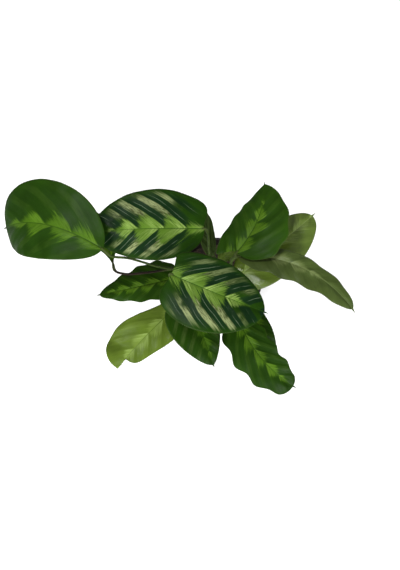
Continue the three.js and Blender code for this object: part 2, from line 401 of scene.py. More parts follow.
DARK_GREEN = LeafFinish(
    slot="leaf_dark_green",
    ground=rgb(0.0090, 0.0280, 0.0014),
    band=rgb(0.0070, 0.0225, 0.0016),
    flame=rgb(0.0330, 0.0760, 0.0040),
    flame_pale=rgb(0.0560, 0.1100, 0.0100),
    stripe=rgb(0.0260, 0.0500, 0.0080),
    stripe_brown=rgb(0.0170, 0.0340, 0.0040),
    vein=rgb(0.0200, 0.0430, 0.0060),
    midrib=rgb(0.0100, 0.0300, 0.0015),
    margin=rgb(0.0280, 0.0500, 0.0090),
    band_strength=0.6,
    stripe_strength=0.25,
    vein_sheen_strength=0.15,
    flame_reach=0.38,
    flame_strength=0.95,
    feather=0.70,
    flame_span=(0.10, 0.78),
    stripe_span=(0.20, 0.85),
    roughness=0.34,
    specular=0.04,
)
MID_GREEN = replace(
    DARK_GREEN,
    ground=rgb(0.0125, 0.0370, 0.0019),
    band=rgb(0.0100, 0.0300, 0.0022),
    flame=rgb(0.0400, 0.0900, 0.0048),
    flame_pale=rgb(0.0660, 0.1280, 0.0120),
)
DARK_FAINT = replace(
    DARK_GREEN,
    slot="leaf_striped",
    stripe=rgb(0.0500, 0.0700, 0.0220),
    stripe_strength=0.3,
    vein_sheen_strength=0.25,
    flame_strength=0.6,
    flame_reach=0.36,
)
SHADED = replace(
    DARK_FAINT,
    ground=rgb(0.0340, 0.0560, 0.0150),
    band=rgb(0.0180, 0.0320, 0.0070),
    vein=rgb(0.1000, 0.1400, 0.0500),
    band_strength=1.0,
    vein_sheen_strength=1.0,
    flame_strength=0.0,
    roughness=0.8,
    specular=0.0,
    underside=Underside.GREEN,
)
YELLOW_GREEN = LeafFinish(
    slot="leaf_yellow_green",
    ground=rgb(0.0610, 0.0960, 0.0110),
    band=rgb(0.0500, 0.0820, 0.0085),
    flame=rgb(0.1000, 0.1500, 0.0240),
    flame_pale=rgb(0.1750, 0.2400, 0.0700),
    stripe=rgb(0.0950, 0.1400, 0.0230),
    stripe_brown=rgb(0.0820, 0.1240, 0.0190),
    vein=rgb(0.0850, 0.1300, 0.0200),
    midrib=rgb(0.0500, 0.0850, 0.0100),
    margin=rgb(0.0600, 0.0900, 0.0150),
    band_strength=0.4,
    stripe_strength=0.25,
    vein_sheen_strength=0.2,
    flame_reach=0.38,
    flame_strength=0.80,
    feather=0.60,
    flame_span=(0.0, 0.92),
    stripe_span=(0.10, 0.90),
    roughness=0.27,
    specular=0.05,
)
PALE_RIBBED = replace(
    YELLOW_GREEN, midrib=rgb(0.1500, 0.2000, 0.0600), specular=0.45, roughness=0.22
)
YOUNG = replace(
    YELLOW_GREEN,
    ground=rgb(0.0300, 0.0500, 0.0080),
    band_strength=0.3,
    stripe_strength=0.0,
    flame_strength=0.3,
)
OLIVE = LeafFinish(
    slot="leaf_olive",
    ground=rgb(0.0380, 0.0570, 0.0130),
    band=rgb(0.0280, 0.0430, 0.0090),
    flame=rgb(0.0800, 0.1050, 0.0320),
    flame_pale=rgb(0.1350, 0.1700, 0.0650),
    stripe=rgb(0.0460, 0.0660, 0.0160),
    stripe_brown=rgb(0.0400, 0.0560, 0.0130),
    vein=rgb(0.0500, 0.0680, 0.0200),
    midrib=rgb(0.0900, 0.1200, 0.0400),
    margin=rgb(0.0300, 0.0420, 0.0120),
    band_strength=0.3,
    stripe_strength=0.2,
    vein_sheen_strength=0.2,
    flame_reach=0.36,
    flame_strength=0.8,
    feather=0.60,
    flame_span=(0.16, 0.56),
    stripe_span=(0.10, 0.90),
    roughness=0.32,
)


class LeafPattern:
    """The feathered calathea pattern, as one node group for every blade.

    Along each half of the blade runs a row of groups. In a group, `phase` goes from 0 at the stalk
    side to 1 at the tip side. A pale, feathered triangle stands on the midrib over the whole
    phase; further out a stripe fills the phase up to STRIPE_LIMIT, and the rest is a dark band.
    """

    STRIPE_LIMIT = 0.42
    EDGE_SOFTNESS = 0.08
    FLAME_FULLNESS = 2.0
    DRIFT = 0.5
    # Place and half width of the vein line: a groove in the bump, painted paler as its sheen.
    VEIN_PHASE = 0.74
    VEIN_HALF_WIDTH = 0.5
    MIDRIB_HALF_WIDTH = 0.60
    NUMBERS = (
        "Band Strength", "Stripe Strength", "Vein Strength", "Flame Reach", "Flame Strength",
        "Feather", "Flame Start", "Flame End", "Stripe Start", "Stripe End", "Side Shift",
        "Period", "First Group", "Seed", "Left Fade",
    )
    COLOURS = (
        "Ground", "Band", "Flame", "Flame Pale", "Stripe", "Stripe Brown", "Vein", "Midrib",
        "Margin",
    )

    def __init__(self) -> None:
        """Make the empty group and read the blade's attributes."""
        inputs: dict[str, object] = {name: rgb(0.1, 0.1, 0.1) for name in self.COLOURS}
        inputs.update({name: 0.5 for name in self.NUMBERS})
        self.group, self.net, self.given, self.results = new_group(
            "Leaf pattern", inputs, {"Color": "Color", "Height": "Float"}
        )
        net = self.net
        self.along, self.across, self.vein_place = net.split(net.attribute("leaf_mm"))
        self.length_share, self.width_share, self.side = net.split(net.attribute("leaf_share"))
        self.streak = self.streaks(0.48, 0.035)
        self.fine = self.streaks(1.9, 0.10)
        patch_place = net.vector(
            net.product(self.along, 0.05), net.product(self.across, 0.05), self.given["Seed"]
        )
        self.patch = net.noise(patch_place, detail=2.0)
        speckle_place = net.vector(
            net.product(self.vein_place, 0.8), net.product(self.across, 0.30), self.given["Seed"]
        )
        self.speckle = net.noise(speckle_place, detail=4.0)
        self.streak_off = net.math("MULTIPLY_ADD", self.streak, 3.4, -1.7)

    def streaks(self, over_veins: float, along_veins: float) -> Socket:
        """Noise drawn out along the side veins, from its two scales per millimetre.

        Args:
            over_veins: Scale from vein to vein.
            along_veins: Scale along a vein.

        Returns:
            The noise.
        """
        net = self.net
        place = net.vector(
            net.product(self.vein_place, over_veins),
            net.product(self.across, along_veins),
            self.given["Seed"],
        )
        return net.noise(place, detail=3.0)

    def span(self, start: Value, end: Value, soft: float) -> Socket:
        """1 between two shares of the length, easing to 0 over `soft` on each side.

        Args:
            start: Share where it starts.
            end: Share where it ends.
            soft: Half width of each edge.

        Returns:
            The mask.
        """
        net = self.net
        return net.product(
            net.smooth(net.math("SUBTRACT", start, soft), net.math("ADD", start, soft),
                       self.length_share),
            net.smooth(net.math("ADD", end, soft), net.math("SUBTRACT", end, soft),
                       self.length_share),
        )

    def phase(self) -> tuple[Socket, Socket]:
        """Where in its group a point is, and a random number of that group.

        Returns:
            The phase from 0 to 1, and a noise that is the same over a group.
        """
        net = self.net
        shifted = net.math("SUBTRACT", self.vein_place, self.given["First Group"])
        turns = net.math("DIVIDE", shifted, self.given["Period"])
        turns = net.math("ADD", turns, net.product(self.side, self.given["Side Shift"]))
        drift = net.noise(net.vector(net.product(self.along, 0.03), net.product(self.side, 5.0),
                                     self.given["Seed"]))
        turns = net.math("MULTIPLY_ADD", drift, self.DRIFT, turns)
        turns = net.math("SUBTRACT", turns, 0.5 * self.DRIFT)
        number = net.vector(
            net.product(net.math("FLOOR", turns), 3.7),
            net.product(self.side, 5.3),
            self.given["Seed"],
        )
        return net.math("FRACT", turns), net.noise(number)

    def masks(self) -> dict[str, Socket]:
        """Strengths of flame, stripe, band, painted vein sheen, midrib and margin at a point.

        Returns:
            The masks by name, with `pale` for the flame's paler part.
        """
        net, given, share = self.net, self.given, self.width_share
        phase, group_noise = self.phase()
        out = net.math("DIVIDE", net.math("ABSOLUTE", self.across), given["Period"])
        swelling = self.span(given["Flame Start"], given["Flame End"], 0.20)
        plumes = net.math("MULTIPLY_ADD", self.fine, 2.6, -1.3)
        plumes = net.math("MULTIPLY_ADD", self.streak_off, 0.65, plumes)
        fingers = net.math("MULTIPLY_ADD", plumes, given["Feather"], 1.0)
        height = net.math("MULTIPLY_ADD", net.math("SUBTRACT", group_noise, 0.5), 1.1, 1.0)
        height = net.product(height, given["Flame Reach"], fingers, swelling)
        lobe = net.math("SUBTRACT", 1.03, net.math("POWER", phase, self.FLAME_FULLNESS))
        triangle = net.product(lobe, height)
        flame = net.product(
            net.smooth(-0.07, 0.09, net.math("SUBTRACT", triangle, out)),
            net.smooth(-0.01, 0.05, phase),
            net.smooth(0.02, 0.12, swelling),
            given["Flame Strength"],
        )
        ragged = net.math("MULTIPLY_ADD", self.streak_off,
                          net.product(given["Feather"], 0.16), phase)
        body = net.product(
            net.smooth(self.STRIPE_LIMIT + self.EDGE_SOFTNESS,
                       self.STRIPE_LIMIT - self.EDGE_SOFTNESS, ragged),
            net.smooth(-0.01, 0.06, phase),
        )
        outer = net.math("MULTIPLY_ADD", self.streak_off, 0.10, share)
        stripe = net.product(
            body,
            net.smooth(0.30, 0.62, out),
            net.smooth(0.97, 0.74, outer),
            self.span(given["Stripe Start"], given["Stripe End"], 0.09),
            net.smooth(0.25, 0.50, self.patch),
            net.math("SUBTRACT", 1.0, net.product(given["Left Fade"],
                                                  net.math("SUBTRACT", 1.0, self.side))),
            given["Stripe Strength"],
        )
        band = net.product(
            net.math("SUBTRACT", 1.0, body),
            net.smooth(0.0, 0.10, share),
            net.smooth(1.0, 0.72, outer),
            net.smooth(0.03, 0.25, self.length_share),
            given["Band Strength"],
        )
        # Vein line: a shallow groove whose pale colour is painted sheen, light glancing off the
        # groove.
        vein_distance = net.math("ABSOLUTE", net.math("SUBTRACT", phase, self.VEIN_PHASE))
        vein = net.product(
            net.smooth(self.VEIN_HALF_WIDTH, 0.0, net.product(vein_distance, given["Period"])),
            net.smooth(0.12, 0.30, share),
            net.smooth(0.95, 0.70, share),
            net.smooth(0.06, 0.20, self.length_share),
            net.smooth(0.38, 0.55, self.patch),
            given["Vein Strength"],
        )
        width = net.math("MULTIPLY_ADD", self.length_share, -0.6 * self.MIDRIB_HALF_WIDTH,
                         self.MIDRIB_HALF_WIDTH)
        midrib = net.smooth(width, net.product(width, 0.4), net.math("ABSOLUTE", self.across))
        pale = net.product(net.smooth(0.75, 0.05, phase), net.smooth(0.42, 0.60, self.fine),
                           net.smooth(0.45, 0.05, share))
        return {
            "flame": flame, "stripe": stripe, "band": band, "vein": vein, "midrib": midrib,
            "margin": net.product(net.smooth(0.965, 0.99, share), 0.7), "pale": pale,
        }

    def build(self) -> bpy.types.NodeTree:
        """Wire the colours to the masks.

        Returns:
            The group, which gives a colour and a height from 0 to 1.
        """
        net, given, masks = self.net, self.given, self.masks()
        flame_colour = net.mix(masks["pale"], given["Flame"], given["Flame Pale"])
        mottled = net.math("MULTIPLY_ADD", self.speckle, 0.9, net.product(self.fine, 0.55))
        share_lift = net.math("MULTIPLY_ADD", self.width_share, 0.34, -0.17)
        stripe_share = net.smooth(0.58, 0.86, net.math("ADD", share_lift, mottled))
        stripe_colour = net.mix(stripe_share, given["Stripe Brown"], given["Stripe"])
        colour = net.mix(masks["band"], given["Ground"], given["Band"])
        colour = net.mix(masks["stripe"], colour, stripe_colour)
        colour = net.mix(masks["flame"], colour, flame_colour)
        # Painted sheen along the vein grooves.
        colour = net.mix(masks["vein"], colour, given["Vein"])
        colour = net.mix(masks["midrib"], colour, given["Midrib"])
        colour = net.mix(masks["margin"], colour, given["Margin"])
        tone = net.math("MULTIPLY_ADD", net.math("SUBTRACT", self.fine, 0.5), 0.6, 1.0)
        tone = net.math("MULTIPLY_ADD", net.math("SUBTRACT", self.patch, 0.5), 0.7, tone)
        net.feed(self.results["Color"], net.scaled(colour, tone))
        ripple = net.math("SINE", net.product(self.vein_place, 2.0 * math.pi / 1.7))
        height = net.math("MULTIPLY_ADD", ripple, 0.16, self.fine)
        net.feed(self.results["Height"], net.math("MULTIPLY_ADD", masks["vein"], -0.5, height))
        return self.group


class LeafPaint:
    """Makes the materials of each blade: upper side and underside."""

    def __init__(self) -> None:
        """Build the shared pattern group."""
        self.pattern = LeafPattern().build()
        self.undersides: dict[str, bpy.types.Material] = {}

    def upper(self, leaf: Leaf) -> bpy.types.Material:
        """Material of a blade's upper side.

        Args:
            leaf: The leaf, which has its finish and its pattern's places.

        Returns:
            The material.
        """
        finish = leaf.finish
        material, net, shader = new_material(f"{finish.slot}_{leaf.name}")
        values = {
            "Ground": finish.ground, "Band": finish.band, "Flame": finish.flame,
            "Flame Pale": finish.flame_pale, "Stripe": finish.stripe,
            "Stripe Brown": finish.stripe_brown, "Vein": finish.vein, "Midrib": finish.midrib,
            "Margin": finish.margin, "Band Strength": finish.band_strength,
            "Stripe Strength": finish.stripe_strength, "Vein Strength": finish.vein_sheen_strength,
            "Flame Reach": finish.flame_reach, "Flame Strength": finish.flame_strength,
            "Feather": finish.feather, "Flame Start": finish.flame_span[0],
            "Flame End": finish.flame_span[1], "Stripe Start": finish.stripe_span[0],
            "Stripe End": finish.stripe_span[1], "Side Shift": leaf.side_shift,
            "Period": leaf.period, "First Group": leaf.first_group * leaf.period,
            "Seed": 10.0 + leaf.length * 0.1 + leaf.heading * 0.01,
            "Left Fade": finish.left_fade,
        }
        pattern = use_group(net, self.pattern, values)
        net.feed(shader.inputs["Base Color"], pattern.outputs["Color"])
        net.feed(shader.inputs["Normal"], net.bump(pattern.outputs["Height"], 0.12 * MM, 0.8))
        shader.inputs["Roughness"].default_value = finish.roughness
        shader.inputs["Specular IOR Level"].default_value = finish.specular
        return material

    def under(self, finish: LeafFinish) -> bpy.types.Material:
        """Material of the underside that goes with a finish, made once for each slot.

        Args:
            finish: The upper side's finish.

        Returns:
            The material.
        """
        name = f"{finish.slot}_underside_{finish.underside.name.lower()}"
        if name in self.undersides:
            return self.undersides[name]
        material, net, shader = new_material(name)
        along, across, vein_place = net.split(net.attribute("leaf_mm"))
        streak = net.noise(
            net.vector(net.product(vein_place, 1.2), net.product(across, 0.06), 4.0), detail=3.0
        )
        cloud = net.noise(net.vector(net.product(along, 0.04), net.product(across, 0.04), 9.0))
        dark, light = finish.underside.value
        colour = net.mix(net.smooth(0.35, 0.68, cloud), rgb(*dark), rgb(*light))
        colour = net.mix(net.smooth(0.45, 0.75, streak), colour, rgb(0.045, 0.065, 0.024))
        rib = net.smooth(1.6, 0.6, net.math("ABSOLUTE", across))
        colour = net.mix(net.product(rib, 0.7), colour, rgb(0.070, 0.090, 0.035))
        net.feed(shader.inputs["Base Color"], colour)
        net.feed(shader.inputs["Normal"], net.bump(streak, 0.15 * MM, 0.7))
        shader.inputs["Roughness"].default_value = UNDERSIDE_ROUGHNESS
        shader.inputs["Specular IOR Level"].default_value = UNDERSIDE_SPECULAR
        self.undersides[name] = material
        return material


# --------------------------------------------------------------------------------------------
# Leaf geometry
# --------------------------------------------------------------------------------------------
@dataclass
class Leaf:
    """One leaf: blade and stalk. Lengths in millimetres, angles in degrees.

    `at` is where the blade starts, from the middle of the rhizome's top. Pairs are the left and
    right half of the blade, looking from stalk to tip. `lobe` and `hood` move the margin back at
    the base and forward at the tip, in millimetres; `cup` bends the tip's halves up, in degrees.
    `wave` is the margin's depth, its count, and where it starts on each side.
    """

    name: str
    at: tuple[float, float, float]
    heading: float
    pitch: float
    length: float
    droop: float
    swing: float
    roll: float
    twist: float
    half: tuple[float, float]
    lobe: tuple[float, float]
    arch: tuple[float, float]
    swell: tuple[float, float]
    foot: tuple[float, float]
    via: tuple[tuple[float, float, float], ...]
    lead: float
    sink: float
    finish: LeafFinish
    wave: tuple[float, float, float, float] = (0.0, 0.0, 0.0, 0.0)
    hood: tuple[float, float] = (0.0, 0.0)
    cup: tuple[float, float] = (0.0, 0.0)
    ripple: float = 0.6
    undulation: float = 1.0
    groups: float = 4.6
    first_group: float = 0.55
    side_shift: float = 0.0
    vein_rake: float = 1.1

    @property
    def period(self) -> float:
        """Length of one group of the pattern, in millimetres."""
        return self.length / self.groups


@dataclass(frozen=True)
class Station:
    """The blade's frame at one share of its length."""

    centre: Vector
    along: Vector
    left: Vector
    up: Vector
    outline: float


class BladeSurface:
    """The middle surface of one blade."""

    SPINE_STEPS = 60
    FOLD = math.radians(8.0)
    DROOP_POWER = 1.5
    CUP_START = 0.85
    DRIP_TIP = 0.04
    LOBE_REACH = 0.1
    HOOD_REACH = 0.05
    BASE_HALF_WIDTH = 1.3
    TIP_HALF_WIDTH = 0.3
    POINT_HALF_WIDTH = 2.4
    POINT_SHARE = 0.09
    VEIN_CURL = 0.006
    GROOVE_DEPTH = 0.45
    GROOVE_HALF_WIDTH = 1.3
    PLEAT_HEIGHT = 0.30
    PLEAT_START = 0.22
    SWELL_SCALE = 0.030
    SWELL_HEIGHT = 2.0
    FRINGE_SCALE = 0.075
    FRINGE_HEIGHT = 2.2

    def __init__(self, leaf: Leaf, rhizome_top: float) -> None:
        """Walk the midrib once.

        Args:
            leaf: The leaf's sizes.
            rhizome_top: Height of the rhizome's top, in millimetres.
        """
        self.leaf = leaf
        self.spine = [Vector(leaf.at) + Vector((0.0, 0.0, rhizome_top))]
        step = leaf.length / self.SPINE_STEPS
        for index in range(self.SPINE_STEPS):
            along = self.axes((index + 0.5) / self.SPINE_STEPS)[0]
            self.spine.append(self.spine[-1] + along * step)

    def axes(self, t: float) -> tuple[Vector, Vector, Vector]:
        """Directions along the midrib, to the left and up, at share t of the length.

        Args:
            t: Share of the length.

        Returns:
            The three directions.
        """
        leaf = self.leaf
        heading = math.radians(leaf.heading + leaf.swing * t)
        pitch = math.radians(leaf.pitch - leaf.droop * t**self.DROOP_POWER)
        level = math.cos(pitch)
        along = Vector((level * math.cos(heading), level * math.sin(heading), math.sin(pitch)))
        left = Vector((-math.sin(heading), math.cos(heading), 0.0))
        left.rotate(Matrix.Rotation(math.radians(leaf.roll + leaf.twist * t), 3, along))
        return along, left, along.cross(left)

    def station(self, t: float) -> Station:
        """The frame and the outline at share t of the length.

        Args:
            t: Share of the length.

        Returns:
            The station.
        """
        place = t * self.SPINE_STEPS
        index = min(int(place), self.SPINE_STEPS - 1)
        centre = self.spine[index].lerp(self.spine[index + 1], place - index)
        a, b = self.leaf.swell
        u = min(max(t / (1.0 - self.DRIP_TIP), 0.0), 1.0)
        widest = a / (a + b)
        outline = (u**a * (1.0 - u) ** b) / (widest**a * (1.0 - widest) ** b)
        return Station(centre, *self.axes(t), outline)

    def half_width(self, station: Station, t: float, side: int) -> float:
        """Half width of the blade on one side, with its waves.

        Args:
            station: The station at t.
            t: Share of the length.
            side: 0 for left, 1 for right.

        Returns:
            The half width in millimetres.
        """
        depth, count, *starts = self.leaf.wave
        wave = 1.0 + depth * math.sin(2.0 * math.pi * (count * t + starts[side]))
        edge = self.BASE_HALF_WIDTH + (self.TIP_HALF_WIDTH - self.BASE_HALF_WIDTH) * t
        point = self.POINT_HALF_WIDTH * smoothstep(1.0, 1.0 - self.POINT_SHARE, t) * t**6
        return self.leaf.half[side] * station.outline * wave + edge + point

    def setback(self, t: float, side: int) -> float:
        """How far the lobes of base and tip draw the margin back, in millimetres.

        Args:
            t: Share of the length.
            side: 0 for left, 1 for right.

        Returns:
            The distance; less than 0 is forward.
        """
        base, tip = t / self.LOBE_REACH, (1.0 - t) / self.HOOD_REACH
        lobe = self.leaf.lobe[side] * base * math.exp(1.0 - base)
        hood = self.leaf.hood[side] * tip * math.exp(1.0 - tip)
        return lobe - hood

    def vein_coordinate(self, x: float, y: float) -> float:
        """Where the side vein through (x, y) leaves the midrib, in millimetres."""
        out = abs(y)
        return x - self.leaf.vein_rake * out - self.VEIN_CURL * out * out

    def relief(self, t: float, share: float, x: float, y: float, side: int) -> float:
        """Height of the surface over the smooth blade, in millimetres.

        Args:
            t: Share of the length.
            share: Share of the half width.
            x: Place along the blade.
            y: Place across the blade.
            side: 0 for left, 1 for right.

        Returns:
            The height.
        """
        leaf = self.leaf
        groove = -self.GROOVE_DEPTH * math.exp(-((y / self.GROOVE_HALF_WIDTH) ** 2)) * (1.0 - t)
        turns = self.vein_coordinate(x, y) / leaf.period - leaf.first_group
        turns += leaf.side_shift * side
        fade = smoothstep(0.04, 0.22, share) * smoothstep(1.0, 0.82, share)
        fade *= smoothstep(0.0, 0.1, t) * smoothstep(1.0, 0.9, t)
        pleat = math.cos(2.0 * math.pi * (turns - self.PLEAT_START))
        pleat += 0.2 * math.cos(6.0 * math.pi * turns)
        seed = leaf.heading * 0.37 + leaf.length
        swell = noise.noise(Vector((x * self.SWELL_SCALE, y * self.SWELL_SCALE, seed)))
        fringe = noise.noise(Vector((x * self.FRINGE_SCALE, side * 7.0, seed + 3.0)))
        return (
            groove
            + self.PLEAT_HEIGHT * pleat * fade
            + leaf.undulation * self.SWELL_HEIGHT * swell * smoothstep(0.0, 0.4, share)
            + leaf.ripple * self.FRINGE_HEIGHT * fringe * share**3
            * math.sin(math.pi * min(t, 0.98))
        )

    def point(self, station: Station, t: float, v: float) -> tuple[Vector, Vector, Vector]:
        """A point of the blade with its two pattern coordinates.

        Args:
            station: The frame at t.
            t: Share of the length, from the stalk.
            v: From -1 at the right margin to 1 at the left one.

        Returns:
            The place in millimetres, then (x, y, vein coordinate) in millimetres, then (share of
            the length, share of the half width, side).
        """
        leaf = self.leaf
        side, sign, share = (0, 1.0, v) if v >= 0.0 else (1, -1.0, -v)
        half = self.half_width(station, t, side)
        cup = leaf.cup[side] * smoothstep(self.CUP_START, 1.0, t)
        arch = math.radians(leaf.arch[side] - cup)
        slope = self.FOLD - arch * share
        out = half * (math.sin(self.FOLD) - math.sin(slope)) / arch
        rise = half * (math.cos(slope) - math.cos(self.FOLD)) / arch
        back = share**2 * self.setback(t, side)
        x, y = leaf.length * t - back, sign * half * share
        normal = station.up * math.cos(slope) - station.left * (sign * math.sin(slope))
        place = station.centre - station.along * back
        place = place + station.left * (sign * out) + station.up * rise
        place = place + normal * self.relief(t, share, x, y, side)
        return (
            place,
            Vector((x, y, self.vein_coordinate(x, y))),
            Vector((t, share, float(side))),
        )


class BladeBuilder:
    """Turns a blade's surface into a closed, painted mesh."""

    STEPS_LONG = 150
    STEPS_ACROSS = 56
    THIN = 0.42
    RIB = 2.1
    RIB_HALF_WIDTH = 1.8
    RIB_TAPER = 1.2
    CROWDING = 1.25

    def __init__(self, paint: LeafPaint) -> None:
        """Keep the shared leaf materials."""
        self.paint = paint

    def build(self, surface: BladeSurface) -> bpy.types.Object:
        """Build one blade.

        Args:
            surface: The blade's surface.

        Returns:
            The blade's object.
        """
        leaf = surface.leaf
        bm = bmesh.new()
        bmesh.ops.create_grid(
            bm, x_segments=self.STEPS_LONG, y_segments=self.STEPS_ACROSS, size=0.5
        )
        in_mm = bm.verts.layers.float_vector.new("leaf_mm")
        in_shares = bm.verts.layers.float_vector.new("leaf_share")
        weights = bm.verts.layers.deform.verify()
        stations: dict[float, Station] = {}
        for vert in bm.verts:
            t = 0.5 - 0.5 * math.cos(math.pi * min(max(vert.co.x + 0.5, 0.0), 1.0))
            v = math.copysign(min(abs(2.0 * vert.co.y), 1.0) ** self.CROWDING, vert.co.y)
            key = round(t, 6)
            if key not in stations:
                stations[key] = surface.station(t)
            place, millimetres, shares = surface.point(stations[key], t, v)
            vert.co = place * MM
            vert[in_mm] = millimetres
            vert[in_shares] = shares
            vert[weights][0] = self.thickness(t, millimetres.y) / self.RIB
        mesh = bpy.data.meshes.new(f"leaf_blade_{leaf.name}")
        bm.to_mesh(mesh)
        bm.free()
        for polygon in mesh.polygons:
            polygon.use_smooth = True
        blade = bpy.data.objects.new(f"leaf_blade_{leaf.name}", mesh)
        bpy.context.scene.collection.objects.link(blade)
        blade.vertex_groups.new(name="thickness")
        self.thicken(blade)
        mesh.materials.append(self.paint.upper(leaf))
        mesh.materials.append(self.paint.under(leaf.finish))
        return blade

    def thickness(self, t: float, y: float) -> float:
        """Thickness of the blade in millimetres: thin, with a rib under the midrib."""
        rib = (self.RIB - self.THIN) * math.exp(-((y / self.RIB_HALF_WIDTH) ** 2))
        return self.THIN + rib * (1.0 - t) ** self.RIB_TAPER

    def thicken(self, blade: bpy.types.Object) -> None:
        """Give the sheet its thickness, downwards, with the underside in the second material.

        Args:
            blade: The sheet's object.
        """
        solidify = blade.modifiers.new("thickness", "SOLIDIFY")
        solidify.thickness = self.RIB * MM
        solidify.offset = -1.0
        solidify.vertex_group = "thickness"
        solidify.use_rim = True
        solidify.material_offset = 1


class StalkBuilder:
    """Builds a leaf stalk: sheath at the foot, slim rod, swollen end under the blade."""

    STEPS_LONG = 110
    SIDES = 20
    RISE = 14.0
    FOOT_RADIUS = 3.0
    RADIUS = 1.35
    PULVINUS_RADIUS = 1.85
    PULVINUS_LENGTH = 13.0
    END_RADIUS = 1.15
    SHEATH_LENGTH = 55.0
    SHEATH_TAPER = 0.8
    SHEATH_RIDGE = 0.20
    FLUTES = 4
    FLUTE_DEPTH = 0.05
    BELOW_BLADE = 0.9
    INTO_BLADE = 2.5
    INTO_RHIZOME = 2.0

    def __init__(self, materials: dict[str, bpy.types.Material]) -> None:
        """Keep the stalk materials by slot."""
        self.materials = materials

    def route(self, surface: BladeSurface, rhizome_top: float) -> list[Vector]:
        """The points that the stalk passes, from the rhizome to just inside the blade.

        Args:
            surface: The surface of its blade.
            rhizome_top: Height of the rhizome's top.

        Returns:
            The points in millimetres.
        """
        leaf = surface.leaf
        lift = Vector((0.0, 0.0, rhizome_top))
        foot = Vector((*leaf.foot, 0.0)) + lift
        start = surface.spine[0]
        along = surface.axes(0.0)[0]
        knee = start - along * leaf.lead - Vector((0.0, 0.0, leaf.sink))
        return [
            foot - Vector((0.0, 0.0, self.INTO_RHIZOME)),
            foot + Vector((0.0, 0.0, self.RISE)),
            *[Vector(p) + lift for p in leaf.via],
            knee,
            start - along * self.BELOW_BLADE,
            start + along * self.INTO_BLADE,
        ]

    def radius(self, from_foot: float, to_blade: float) -> float:
        """Radius in millimetres at a place on the stalk.

        Args:
            from_foot: Distance walked from the foot.
            to_blade: Distance left to the blade.

        Returns:
            The radius.
        """
        if to_blade < self.PULVINUS_LENGTH:
            share = max(to_blade, 0.0) / self.PULVINUS_LENGTH
            ends = self.END_RADIUS + (self.RADIUS - self.END_RADIUS) * share
            return ends + (self.PULVINUS_RADIUS - self.RADIUS) * math.sin(math.pi * share)
        sheath = max(1.0 - from_foot / self.SHEATH_LENGTH, 0.0)
        return self.RADIUS + (self.FOOT_RADIUS - self.RADIUS) * sheath**self.SHEATH_TAPER

    def build(self, surface: BladeSurface, rhizome_top: float, slot: str) -> bpy.types.Object:
        """Build one stalk.

        Args:
            surface: The surface of the blade that it carries.
            rhizome_top: Height of the rhizome's top, in millimetres.
            slot: The material slot.

        Returns:
            The stalk's object.
        """
        line = smooth_line(self.route(surface, rhizome_top), self.STEPS_LONG)
        bm = bmesh.new()
        bmesh.ops.create_grid(bm, x_segments=self.STEPS_LONG, y_segments=self.SIDES, size=0.5)
        place_layer = bm.verts.layers.float_vector.new("stalk_place")
        length = line.lengths[-1]
        for vert in bm.verts:
            index = round((vert.co.x + 0.5) * self.STEPS_LONG)
            turn = vert.co.y + 0.5
            walked = line.lengths[index]
            radius = self.radius(walked, length - walked - self.INTO_BLADE)
            sheath = smoothstep(self.SHEATH_LENGTH, 0.0, walked)
            radius *= 1.0 + self.SHEATH_RIDGE * sheath * math.sin(math.pi * turn) ** 8
            flute = math.cos(2.0 * self.FLUTES * math.pi * turn)
            radius *= 1.0 + self.FLUTE_DEPTH * flute * (1.0 - sheath)
            angle = 2.0 * math.pi * turn
            spoke = line.sides[index] * math.cos(angle) + line.others[index] * math.sin(angle)
            vert.co = (line.points[index] + spoke * radius) * MM
            vert[place_layer] = Vector((walked, angle, length - walked))
        bmesh.ops.remove_doubles(bm, verts=bm.verts[:], dist=MERGE_DISTANCE)
        rims = [edge for edge in bm.edges if edge.is_boundary]
        bmesh.ops.holes_fill(bm, edges=rims, sides=self.SIDES + 1)
        bmesh.ops.recalc_face_normals(bm, faces=bm.faces[:])
        return finished(f"leaf_stalk_{surface.leaf.name}", bm, self.materials[slot])


@dataclass
class Line:
    """A smooth line with a frame that doesn't twist at each of its points."""

    points: list[Vector] = field(default_factory=list)
    sides: list[Vector] = field(default_factory=list)
    others: list[Vector] = field(default_factory=list)
    lengths: list[float] = field(default_factory=list)


def catmull(points: list[Vector], place: float) -> Vector:
    """A point on the centripetal Catmull-Rom curve through `points`.

    Args:
        points: The points that it passes.
        place: From 0 at the first point to the last point's index.

    Returns:
        The point.
    """
    index = min(int(place), len(points) - 2)
    share = place - index
    p1, p2 = points[index], points[index + 1]
    p0 = points[index - 1] if index > 0 else p1 * 2.0 - p2
    p3 = points[index + 2] if index + 2 < len(points) else p2 * 2.0 - p1
    gaps = [max((b - a).length, 1e-6) ** 0.5 for a, b in ((p0, p1), (p1, p2), (p2, p3))]
    out = (p1 - p0) / gaps[0] - (p2 - p0) / (gaps[0] + gaps[1]) + (p2 - p1) / gaps[1]
    into = (p2 - p1) / gaps[1] - (p3 - p1) / (gaps[1] + gaps[2]) + (p3 - p2) / gaps[2]
    out, into = out * gaps[1], into * gaps[1]
    cubic = p1 * 2.0 - p2 * 2.0 + out + into
    square = p2 * 3.0 - p1 * 3.0 - out * 2.0 - into
    return p1 + out * share + square * share**2 + cubic * share**3


